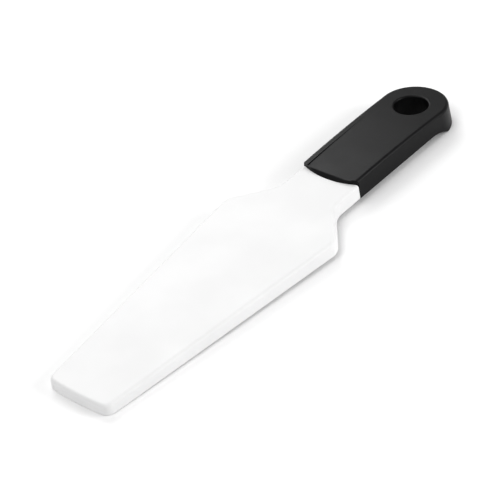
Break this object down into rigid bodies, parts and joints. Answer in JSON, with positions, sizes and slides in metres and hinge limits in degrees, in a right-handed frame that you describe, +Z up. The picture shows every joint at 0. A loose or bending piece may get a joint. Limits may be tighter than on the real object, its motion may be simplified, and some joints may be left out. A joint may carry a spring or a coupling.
{
  "type": "bench scraper",
  "caption": "Long tapered plastic blade with turned-down walls and a short hollow handle with a hanging hole, for lifting and scraping dough.",
  "frame": {"origin": "on the surface that the tool lies on, under the middle of its outer box", "axes": "+Y from the blade's tip towards the handle's round end, +X to the right seen from above with +Y up the page, +Z up; the tool rests on its tip and heel"},
  "size_m": [0.062, 0.2438, 0.0123],
  "materials": {
    "white_plastic": "moulded, smooth satin",
    "black_plastic": "moulded, fine spark-eroded texture"
  },
  "bodies": {
    "root": {"blade": "white_plastic", "handle_shell": "black_plastic"}
  },
  "joints": []
}
